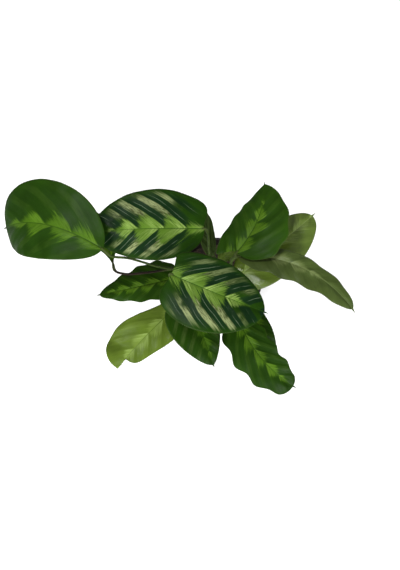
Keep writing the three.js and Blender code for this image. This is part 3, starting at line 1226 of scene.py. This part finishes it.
def smooth_line(points: list[Vector], steps: int) -> Line:
    """Evenly spaced points on a smooth curve, with their frames.

    Args:
        points: The points that the curve passes.
        steps: How many steps the line has.

    Returns:
        The line, with steps + 1 points.
    """
    fine = [catmull(points, (len(points) - 1) * i / 600.0) for i in range(601)]
    walked = [0.0]
    for a, b in zip(fine, fine[1:]):
        walked.append(walked[-1] + (b - a).length)
    line = Line()
    side = Vector((1.0, 0.0, 0.0))
    at = 0
    for i in range(steps + 1):
        goal = walked[-1] * i / steps
        while at < len(fine) - 2 and walked[at + 1] < goal:
            at += 1
        share = (goal - walked[at]) / (walked[at + 1] - walked[at])
        tangent = (fine[at + 1] - fine[at]).normalized()
        side = (side - tangent * side.dot(tangent)).normalized()
        line.points.append(fine[at].lerp(fine[at + 1], share))
        line.sides.append(side)
        line.others.append(tangent.cross(side))
        line.lengths.append(goal)
    return line


def finished(
    name: str, bm: bmesh.types.BMesh, *materials: bpy.types.Material
) -> bpy.types.Object:
    """Put a bmesh into the scene as a smooth object with its place in its mesh.

    Args:
        name: The object's name.
        bm: The mesh; it is freed.
        materials: The material slots.

    Returns:
        The object.
    """
    for face in bm.faces:
        face.smooth = True
    mesh = bpy.data.meshes.new(name)
    bm.to_mesh(mesh)
    bm.free()
    for material in materials:
        mesh.materials.append(material)
    made = bpy.data.objects.new(name, mesh)
    bpy.context.scene.collection.objects.link(made)
    return made


# --------------------------------------------------------------------------------------------
# The leaves of this plant
# --------------------------------------------------------------------------------------------
LEAVES = (
    Leaf("far_left", (-130, -32, 164), 149, 9, 144, 64, 24, -12, -10, (39, 50), (1, -2),
         (20, 12), (0.6, 0.42), (-16, 5),
         ((-30, -4, 68), (-58, -28.5, 102), (-104, -28, 130)), 9, 6, DARK_GREEN,
         groups=4.2, first_group=0.9, side_shift=-0.2),
    Leaf("left_upper", (-18, 2, 146), 183, 9, 134, 20, 0, -8, -9, (36, 46), (1, 14),
         (23, 17), (0.51, 0.65), (-7, 3), ((-11, 4, 70),), 4, 9, DARK_STRIPED, groups=4.75,
         first_group=0.76, side_shift=0.13),
    Leaf("left_lower", (-49, -25, 68), 200, 7, 104, 25, -15, 2, 5, (21, 28), (0, 6),
         (19, 20), (0.43, 0.85), (-12, -12), ((-26, -20, 32),), 9, 5, MID_GREEN,
         wave=(0.06, 4.5, 0.0, 0.2), groups=5.5, side_shift=0.4),
    Leaf("centre_top", (-54, -61, 162), 332, 4, 114, 17, 11, 2, -4, (38, 46), (12, 7),
         (18, 19), (0.44, 0.63), (-8, -6), ((-29, -35, 75), (-46, -55, 130)), 1, 9, CHEVRONS,
         groups=4.4, first_group=0.47, side_shift=0.03),
    Leaf("front_left", (-40, -55, 70), 225, 9, 108, 20, 5, -6, 0, (25, 29), (1, -3),
         (18, 26), (0.68, 0.38), (-5, -16), ((-22, -37, 36),), 9, 4, YELLOW_GREEN,
         wave=(0.24, 0.8, 0.07, 0.53), hood=(0, 15), cup=(20, 120), groups=4.4),
    Leaf("front_middle", (-36, -69, 105), 290, 8, 86, 42, 2, -8, -7, (25, 35), (0, 4),
         (21, 16), (0.42, 0.82), (0, -10), ((-17, -45, 66),), 8, 4, DARK_FAINT),
    Leaf("front_right", (20, -78, 96), 280, 1, 120, 35, 58, 5, 9, (21, 27), (-1, 2),
         (16, 20), (0.42, 0.48), (4, -18), ((2, -44, 62),), 10, 3, DARK_GREEN,
         wave=(0.09, 4.5, -0.1, 0.2), groups=6.0, vein_rake=1.5),
    Leaf("front_right_under", (23, -47, 72), 296, 4, 90, 36, 3, -1, 2, (16, 28), (0, 0),
         (21, 20), (0.54, 0.45), (11, -13), ((15, -28, 38),), 9, 5, DARK_GREEN),
    Leaf("back_right_upper", (20, -15, 118), 45, 16, 99, 23, 47, -10, -13, (31, 41), (24, -1),
         (27, 19), (0.5, 0.9), (9, -7), ((9, -16, 50), (11, -22, 90)), 2, 8,
         replace(MID_GREEN, flame_span=(-0.1, 0.60), flame_reach=0.48), wave=(0.035, 4.5, 0.2, 0.4),
         groups=4.5, first_group=1.0),
    Leaf("back_right_lower", (19, -28, 66), 33, 20, 131, 20, 9, -2, -1, (32, 36), (-6, 4),
         (22, 20), (0.49, 0.62), (15, -5), ((12, -22, 40),), 9, 4, PALE_RIBBED, groups=5.0),
    Leaf("right_trailing", (24, -15, 108), -7, 21, 158, 45, -46, -4, -1, (14, 21), (-1, 2),
         (21, 19), (0.55, 0.67), (15, 4), ((16.5, -8.5, 66),), 9, 6, OLIVE,
         wave=(0.07, 4.5, 0.0, 0.5), groups=6.5),
    Leaf("back_steep", (-5, 14, 50), 112, 47, 75, 20, 2, 52, 3, (24, 23), (0, 0),
         (20, 21), (0.49, 0.61), (-1, 12), (), 8, 3,
         SHADED),
    Leaf("left_small", (-125, -25, 112), 107, 10, 71, 30, 3, 0, 0, (16, 19), (-4, -3),
         (20, 20), (1.0, 0.6), (-17, -4),
         ((-30, -13, 50), (-46, -19, 78), (-61, -25, 90), (-86, -34, 102), (-111, -38, 108)),
         10, 1, DARK_GREEN),
    Leaf("centre_young", (1, -5, 70), 43, 28, 41, 21, -4, 0, 0, (13, 13), (-3, -4),
         (20, 20), (0.53, 0.59), (0, -1), ((-2, -6, 40),), 6, 2, YOUNG, groups=2.6),
)
PURPLE_STALKS = ("left_small",)


# --------------------------------------------------------------------------------------------
# Stalk, pot, soil finishes
# --------------------------------------------------------------------------------------------
@dataclass(frozen=True)
class StalkFinish:
    """Linear colours and gloss of a leaf stalk, from its foot to its swollen end."""

    slot: str
    upper: Colour
    pulvinus: Colour
    lower: Colour = rgb(0.022, 0.036, 0.008)
    foot: Colour = rgb(0.090, 0.060, 0.030)
    roughness: float = 0.60
    specular: float = 0.04


GREEN_STALK = StalkFinish("leaf_stalk", rgb(0.022, 0.036, 0.008), rgb(0.030, 0.044, 0.010))
PURPLE_STALK = StalkFinish(
    "leaf_stalk_purple", rgb(0.010, 0.007, 0.005), rgb(0.026, 0.034, 0.010)
)


@dataclass(frozen=True)
class GrainFinish:
    """Two linear tones and the grain of a rough natural material."""

    name: str
    low: Colour
    high: Colour
    roughness: float
    fine_scale: float = 1300.0
    coarse_scale: float = 210.0


MINERAL = GrainFinish("mineral_grain", rgb(0.30, 0.28, 0.24), rgb(0.55, 0.53, 0.47), 0.8)
BARK = GrainFinish("rhizome_skin", rgb(0.030, 0.020, 0.010), rgb(0.085, 0.058, 0.028), 0.75)


def stalk_material(finish: StalkFinish) -> bpy.types.Material:
    """Material of a leaf stalk.

    Args:
        finish: Its colours and gloss.

    Returns:
        The material.
    """
    material, net, shader = new_material(finish.slot)
    walked, angle, to_blade = net.split(net.attribute("stalk_place"))
    around = net.vector(
        net.math("COSINE", angle), net.math("SINE", angle), net.product(walked, 0.03)
    )
    streaks = net.noise(around, scale=2.6, detail=4.0)
    green = net.mix(net.smooth(95.0, 60.0, to_blade), finish.lower, finish.upper)
    colour = net.mix(net.smooth(0.48, 0.60, streaks), green, net.scaled(green, 2.3))
    foot = net.smooth(34.0, 4.0, walked)
    colour = net.mix(net.product(foot, 0.6), colour, finish.foot)
    end = net.smooth(15.0, 10.0, to_blade)
    colour = net.mix(net.product(end, 0.85), colour, finish.pulvinus)
    net.feed(shader.inputs["Base Color"], colour)
    net.feed(shader.inputs["Normal"], net.bump(streaks, 0.2 * MM, 0.6))
    shader.inputs["Roughness"].default_value = finish.roughness
    shader.inputs["Specular IOR Level"].default_value = finish.specular
    return material


def grain_group() -> bpy.types.NodeTree:
    """Node group of fine and coarse grain in Object coordinates, for pot, soil and rhizome.

    Returns:
        The group.
    """
    group, net, given, results = new_group(
        "Grain", {"Fine Scale": 900.0, "Coarse Scale": 60.0}, {"Fine": "Float", "Coarse": "Float"}
    )
    place = net.add("ShaderNodeTexCoord").outputs["Object"]
    for title in ("Fine", "Coarse"):
        node = net.add("ShaderNodeTexNoise")
        net.feed(node.inputs["Vector"], place)
        net.feed(node.inputs["Scale"], given[f"{title} Scale"])
        node.inputs["Detail"].default_value = 4.0
        net.feed(results[title], node.outputs["Fac"])
    return group


def pot_material(grain: bpy.types.NodeTree) -> bpy.types.Material:
    """Dark brown-black moulded plastic with scuffs and a trace of dust.

    Args:
        grain: The grain group.

    Returns:
        The material.
    """
    material, net, shader = new_material("pot_plastic")
    node = use_group(net, grain, {"Fine Scale": 700.0, "Coarse Scale": 45.0})
    fine, coarse = node.outputs["Fine"], node.outputs["Coarse"]
    cloud = net.smooth(0.35, 0.75, coarse)
    colour = net.mix(cloud, rgb(0.006, 0.005, 0.004), rgb(0.016, 0.011, 0.009))
    dust = net.product(net.smooth(0.56, 0.72, coarse), net.smooth(0.45, 0.65, fine), 0.5)
    colour = net.mix(dust, colour, rgb(0.060, 0.046, 0.034))
    net.feed(shader.inputs["Base Color"], colour)
    rough = net.math("MULTIPLY_ADD", coarse, 0.22, 0.36)
    net.feed(shader.inputs["Roughness"], rough)
    net.feed(shader.inputs["Normal"], net.bump(fine, 0.12 * MM, 0.6))
    return material


def soil_material(grain: bpy.types.NodeTree) -> bpy.types.Material:
    """Dark, moist peat with bark fragments.

    Args:
        grain: The grain group.

    Returns:
        The material.
    """
    material, net, shader = new_material("potting_soil")
    node = use_group(net, grain, {"Fine Scale": 1100.0, "Coarse Scale": 170.0})
    fine, coarse = node.outputs["Fine"], node.outputs["Coarse"]
    clods = net.smooth(0.35, 0.65, coarse)
    colour = net.mix(clods, rgb(0.012, 0.007, 0.004), rgb(0.050, 0.029, 0.016))
    bark = net.product(net.smooth(0.58, 0.70, fine), 0.7)
    colour = net.mix(bark, colour, rgb(0.115, 0.070, 0.038))
    net.feed(shader.inputs["Base Color"], colour)
    net.feed(shader.inputs["Normal"], net.bump(fine, 0.9 * MM, 0.9))
    shader.inputs["Roughness"].default_value = 0.92
    return material


def grained_material(finish: GrainFinish, grain: bpy.types.NodeTree) -> bpy.types.Material:
    """A rough natural material between two tones.

    Args:
        finish: Its tones, roughness and grain.
        grain: The grain group.

    Returns:
        The material.
    """
    material, net, shader = new_material(finish.name)
    scales = {"Fine Scale": finish.fine_scale, "Coarse Scale": finish.coarse_scale}
    node = use_group(net, grain, scales)
    share = net.smooth(0.35, 0.65, node.outputs["Coarse"])
    colour = net.mix(share, finish.low, finish.high)
    net.feed(shader.inputs["Base Color"], colour)
    net.feed(shader.inputs["Normal"], net.bump(node.outputs["Fine"], 0.4 * MM, 0.8))
    shader.inputs["Roughness"].default_value = finish.roughness
    return material


# --------------------------------------------------------------------------------------------
# Pot and soil
# --------------------------------------------------------------------------------------------
def turned(profile: list[tuple[float, float]], steps: int) -> bmesh.types.BMesh:
    """Spin a profile of (radius, height) pairs in millimetres about +Z into a closed solid.

    Args:
        profile: The pairs, from the axis back to the axis.
        steps: Steps of the full turn.

    Returns:
        The mesh.
    """
    bm = bmesh.new()
    verts = [bm.verts.new((radius * MM, 0.0, height * MM)) for radius, height in profile]
    edges = [bm.edges.new(pair) for pair in zip(verts, verts[1:])]
    bmesh.ops.spin(
        bm, geom=verts + edges, cent=(0, 0, 0), axis=(0, 0, 1), dvec=(0, 0, 0),
        angle=2.0 * math.pi, steps=steps, use_merge=True, use_duplicate=False,
    )
    bmesh.ops.remove_doubles(bm, verts=bm.verts[:], dist=MERGE_DISTANCE)
    bmesh.ops.recalc_face_normals(bm, faces=bm.faces[:])
    return bm


@dataclass
class NurseryPot:
    """The tapered pot with its rim band, stacking steps and drain holes. Millimetres."""

    height: float
    rim_radius: float
    base_radius: float
    wall: float = 1.5
    floor: float = 2.0
    band: float = 11.0
    step: float = 1.6
    foot_step: float = 7.0
    holes: int = 6
    hole_radius: float = 4.0
    hole_ring: float = 27.0
    steps: int = 160

    def cone(self, height: float) -> float:
        """Outer radius under the band at a height."""
        top = self.rim_radius - self.step
        return self.base_radius + (top - self.base_radius) * height / self.height

    def profile(self) -> list[tuple[float, float]]:
        """Section of the pot, from the axis at the bottom to the axis at the floor.

        Returns:
            Pairs of radius and height.
        """
        band_foot = self.height - self.band
        top = self.height
        inner_top = self.cone(top) - self.wall
        return [
            (0.0, 0.0), (self.base_radius - 6.0, 0.0), (self.base_radius - 2.2, 0.0),
            (self.base_radius - 0.9, 0.4), (self.cone(2.0), 2.0),
            (self.cone(self.foot_step), self.foot_step),
            (self.cone(self.foot_step) + 0.5, self.foot_step + 0.6),
            (self.cone(30.0) + 0.3, 30.0), (self.cone(60.0) + 0.1, 60.0),
            (self.cone(band_foot - 0.6), band_foot - 0.6), (self.cone(band_foot) + 0.3, band_foot),
            (self.cone(band_foot) + self.step * 0.8, band_foot + 0.15),
            (self.cone(band_foot) + self.step, band_foot + 0.7),
            (self.rim_radius - 0.35, top - 3.2), (self.rim_radius, top - 2.6),
            (self.rim_radius, top - 0.9), (self.rim_radius - 0.3, top - 0.25),
            (self.rim_radius - 0.9, top), (inner_top + 0.6, top), (inner_top + 0.1, top - 0.35),
            (inner_top, top - 1.0), (self.cone(band_foot) - self.wall, band_foot),
            (self.cone(40.0) - self.wall, 40.0), (self.cone(4.0) - self.wall, 4.0),
            (self.cone(self.floor) - self.wall - 1.5, self.floor),
            (self.base_radius - 8.0, self.floor),
            (0.0, self.floor),
        ]

    def build(self, material: bpy.types.Material) -> bpy.types.Object:
        """Build the pot, with its drain holes cut.

        Args:
            material: Its plastic.

        Returns:
            The pot's object.
        """
        pot = finished("nursery_pot", turned(self.profile(), self.steps), material)
        cutter_mesh = bmesh.new()
        for index in range(self.holes):
            angle = 2.0 * math.pi * index / self.holes
            centre = Vector((math.cos(angle), math.sin(angle), 0.0)) * self.hole_ring
            bmesh.ops.create_cone(
                cutter_mesh, cap_ends=True, segments=32, radius1=self.hole_radius * MM,
                radius2=self.hole_radius * MM, depth=4.0 * self.floor * MM,
                matrix=Matrix.Translation(centre * MM),
            )
        cutter = finished("drain_cutter", cutter_mesh)
        cut = pot.modifiers.new("drain", "BOOLEAN")
        cut.operation = "DIFFERENCE"
        cut.solver = "EXACT"
        cut.object = cutter
        graph = bpy.context.evaluated_depsgraph_get()
        drilled = bpy.data.meshes.new_from_object(pot.evaluated_get(graph))
        pot.modifiers.clear()
        pot.data = drilled
        bpy.data.objects.remove(cutter)
        drilled.shade_smooth()
        drilled.set_sharp_from_angle(angle=math.radians(35.0))
        return pot


@dataclass
class PottingSoil:
    """The soil body, its loose crumbs and a few pale mineral grains. Millimetres."""

    pot: NurseryPot
    top: float
    crumbs: int = 620
    grains: int = 26
    rings: int = 46
    steps: int = 200
    seed: int = 7
    settled: float = 1.3
    lump_scale: float = 0.09
    lump_height: float = 1.5
    fine_scale: float = 0.42
    fine_height: float = 0.7
    side_gap: float = 0.1
    floor_gap: float = 0.3

    def surface_height(self, x: float, y: float) -> float:
        """Height of the lumpy soil surface at a place.

        Args:
            x: Place from the middle.
            y: Place from the middle.

        Returns:
            The height.
        """
        lumps = noise.noise(Vector((x * self.lump_scale, y * self.lump_scale, 1.0)))
        fine = noise.noise(Vector((x * self.fine_scale, y * self.fine_scale, 5.0)))
        return self.top - self.settled + lumps * self.lump_height + fine * self.fine_height

    def build(self, material: bpy.types.Material) -> bpy.types.Object:
        """Build the soil body.

        Args:
            material: The peat.

        Returns:
            The soil's object.
        """
        outer = self.pot.cone(self.top) - self.pot.wall - self.side_gap
        foot = self.pot.cone(self.pot.floor) - self.pot.wall - 1.8
        bottom = self.pot.floor + self.floor_gap
        profile = [(0.0, bottom), (foot, bottom), (outer, self.top - 1.5)]
        for ring in range(1, self.rings):
            profile.append((outer * (1.0 - ring / self.rings), self.top))
        profile.append((0.0, self.top))
        bm = turned(profile, self.steps)
        limit = (self.top - 1.0) * MM
        for vert in bm.verts:
            if vert.co.z > limit:
                vert.co.z = self.surface_height(vert.co.x / MM, vert.co.y / MM) * MM
        return finished("soil_body", bm, material)

    def scatter(
        self, name: str, count: int, sizes: tuple[float, float], material: bpy.types.Material
    ) -> bpy.types.Object:
        """Scatter rough crumbs over the soil.

        Args:
            name: The piece's name.
            count: How many crumbs.
            sizes: Smallest and largest radius.
            material: Their material.

        Returns:
            One object that holds them all.
        """
        chance = random.Random(f"{name}{self.seed}")
        outer = self.pot.cone(self.top) - self.pot.wall - 2.5
        bm = bmesh.new()
        for _ in range(count):
            angle = chance.uniform(0.0, 2.0 * math.pi)
            radius = math.sqrt(chance.uniform(0.03, 1.0)) * outer
            x, y = radius * math.cos(angle), radius * math.sin(angle)
            size = sizes[0] + (sizes[1] - sizes[0]) * chance.random() ** 2.5
            turn = Euler([chance.uniform(0.0, math.pi) for _ in range(3)]).to_matrix().to_4x4()
            shape = Matrix.Diagonal((1.0, chance.uniform(0.5, 0.9), chance.uniform(0.35, 0.7), 1.0))
            lift = self.surface_height(x, y) + size * 0.15
            place = Matrix.Translation(Vector((x, y, lift)) * MM)
            made = bmesh.ops.create_icosphere(
                bm, subdivisions=1, radius=size * MM, matrix=place @ turn @ shape
            )
            for vert in made["verts"]:
                vert.co += Vector([chance.uniform(-0.14, 0.14) * size * MM for _ in range(3)])
        return finished(name, bm, material)


@dataclass
class Rhizome:
    """The knobbly clump that the stalks stand on. Millimetres."""

    radius: float
    top: float
    bottom: float
    steps: int = 96
    crown_shares: tuple[float, ...] = (0.82, 0.7, 0.55, 0.4, 0.25, 0.12)
    crown_drop: float = 0.6

    def build(self, material: bpy.types.Material) -> bpy.types.Object:
        """Build the clump.

        Args:
            material: Its skin.

        Returns:
            The clump's object.
        """
        side = [(self.radius * 0.86, self.bottom), (self.radius, self.bottom + 3.0)]
        shoulder = [(self.radius * 0.99, self.top - 5.5), (self.radius * 0.93, self.top - 2.2)]
        level = self.top - self.crown_drop
        crown = [(self.radius * share, level) for share in self.crown_shares]
        profile = [(0.0, self.bottom), *side, *shoulder, *crown, (0.0, level)]
        bm = turned(profile, self.steps)
        for vert in bm.verts:
            spot = vert.co / MM
            knobs = noise.noise(Vector((spot.x * 0.22, spot.y * 0.22, spot.z * 0.3)))
            vert.co *= 1.0 + 0.012 * knobs
            vert.co.z += 0.0007 * knobs
        return finished("rhizome_clump", bm, material)


# --------------------------------------------------------------------------------------------
# Studio
# --------------------------------------------------------------------------------------------
@dataclass
class Softbox:
    """One area light aimed at a point. Metres and watts."""

    name: str
    place: tuple[float, float, float]
    size: float
    power: float
    aim: tuple[float, float, float] = (0.0, -0.03, 0.18)

    def build(self) -> None:
        """Add the light."""
        light = bpy.data.lights.new(self.name, "AREA")
        light.shape = "DISK"
        light.size = self.size
        light.energy = self.power
        lamp = bpy.data.objects.new(self.name, light)
        lamp.location = self.place
        towards = Vector(self.aim) - Vector(self.place)
        lamp.rotation_euler = towards.to_track_quat("-Z", "Y").to_euler()
        bpy.context.scene.collection.objects.link(lamp)


class Studio:
    """Floor, light and camera."""

    CAMERA_PLACE = (-0.0226, -0.3570, 0.9628)
    CAMERA_TILT = 22.0
    LENS = 44.2
    FLOOR_SIZE = 6.0
    SOFTBOXES = (
        Softbox("key", (-0.45, 0.03, 1.34), 0.22, 9.0),
        Softbox("front_left", (-0.85, -1.15, 0.95), 0.9, 30.0),
        Softbox("front_right", (0.85, -1.15, 0.95), 0.9, 30.0),
    )
    SURROUND = 0.35

    def build(self) -> None:
        """Set the stage."""
        self.floor()
        self.light()
        self.camera()

    def floor(self) -> None:
        """A wide pale floor at the height that the pot stands on."""
        bm = bmesh.new()
        bmesh.ops.create_grid(bm, x_segments=1, y_segments=1, size=self.FLOOR_SIZE / 2.0)
        material, _, shader = new_material("floor")
        shader.inputs["Base Color"].default_value = rgb(0.97, 0.97, 0.97)
        shader.inputs["Roughness"].default_value = 0.9
        shader.inputs["Specular IOR Level"].default_value = 0.0
        floor = finished("floor", bm, material)
        floor.location.z = -0.0002

    def light(self) -> None:
        """Softboxes and a dim, even surround."""
        for softbox in self.SOFTBOXES:
            softbox.build()
        world = bpy.data.worlds.new("surround")
        world.use_nodes = True
        background = world.node_tree.nodes["Background"]
        background.inputs["Color"].default_value = rgb(1.0, 1.0, 1.0)
        background.inputs["Strength"].default_value = self.SURROUND
        bpy.context.scene.world = world
        bpy.context.scene.view_settings.view_transform = "Standard"

    def camera(self) -> None:
        """Camera that looks steeply down on the plant."""
        data = bpy.data.cameras.new("camera")
        data.lens = self.LENS
        data.clip_start = 0.01
        data.clip_end = 20.0
        camera = bpy.data.objects.new("camera", data)
        camera.location = self.CAMERA_PLACE
        camera.rotation_euler = (math.radians(self.CAMERA_TILT), 0.0, 0.0)
        bpy.context.scene.collection.objects.link(camera)
        bpy.context.scene.camera = camera


# --------------------------------------------------------------------------------------------
# Assembly
# --------------------------------------------------------------------------------------------
class Calathea:
    """The whole plant in its pot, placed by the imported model's boxes."""

    def __init__(self) -> None:
        """Read the frame's sizes and make the shared materials."""
        rhizome_low, rhizome_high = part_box("rhizome")
        pot_low, pot_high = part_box("pot")
        soil_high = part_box("soil")[1]
        self.rhizome_top = rhizome_high.z / MM
        self.pot = NurseryPot(
            height=pot_high.z / MM, rim_radius=pot_high.x / MM, base_radius=43.0
        )
        self.soil = PottingSoil(self.pot, soil_high.z / MM)
        self.rhizome = Rhizome(rhizome_high.x / MM, self.rhizome_top, rhizome_low.z / MM)
        self.grain = grain_group()
        self.paint = LeafPaint()

    def place(self, piece: bpy.types.Object, slot: str, *nodes: str) -> None:
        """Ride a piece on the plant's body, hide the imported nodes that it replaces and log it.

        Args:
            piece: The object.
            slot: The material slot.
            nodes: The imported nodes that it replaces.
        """
        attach(piece, BODY)
        if nodes:
            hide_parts(*nodes)
        LOG.info("%s: %d faces, slot %s", piece.name, len(piece.data.polygons), slot)

    def build(self) -> None:
        """Build every piece."""
        self.build_pot()
        self.build_leaves()

    def build_pot(self) -> None:
        """Pot, soil and rhizome."""
        self.place(self.pot.build(pot_material(self.grain)), "pot_plastic", "pot")
        earth = soil_material(self.grain)
        self.place(self.soil.build(earth), "potting_soil", "soil")
        crumbs = self.soil.scatter("soil_crumbs", self.soil.crumbs, (0.5, 2.4), earth)
        self.place(crumbs, "potting_soil")
        pale = grained_material(MINERAL, self.grain)
        grains = self.soil.scatter("soil_grains", self.soil.grains, (0.5, 1.3), pale)
        self.place(grains, "potting_soil")
        bark = grained_material(BARK, self.grain)
        self.place(self.rhizome.build(bark), "rhizome", "rhizome")

    def build_leaves(self) -> None:
        """Blades and stalks."""
        finishes = (GREEN_STALK, PURPLE_STALK)
        stalks = StalkBuilder({finish.slot: stalk_material(finish) for finish in finishes})
        blades = BladeBuilder(self.paint)
        for leaf in LEAVES:
            surface = BladeSurface(leaf, self.rhizome_top)
            blade = blades.build(surface)
            self.place(blade, leaf.finish.slot, f"blade_{leaf.name}")
            slot = (PURPLE_STALK if leaf.name in PURPLE_STALKS else GREEN_STALK).slot
            stalk = stalks.build(surface, self.rhizome_top, slot)
            self.place(stalk, slot, f"stalk_{leaf.name}")


def main() -> None:
    """Build the scene."""
    logging.basicConfig(level=logging.INFO, format="%(name)s: %(message)s")
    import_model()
    Calathea().build()
    Studio().build()


if __name__ == "__main__":
    main()
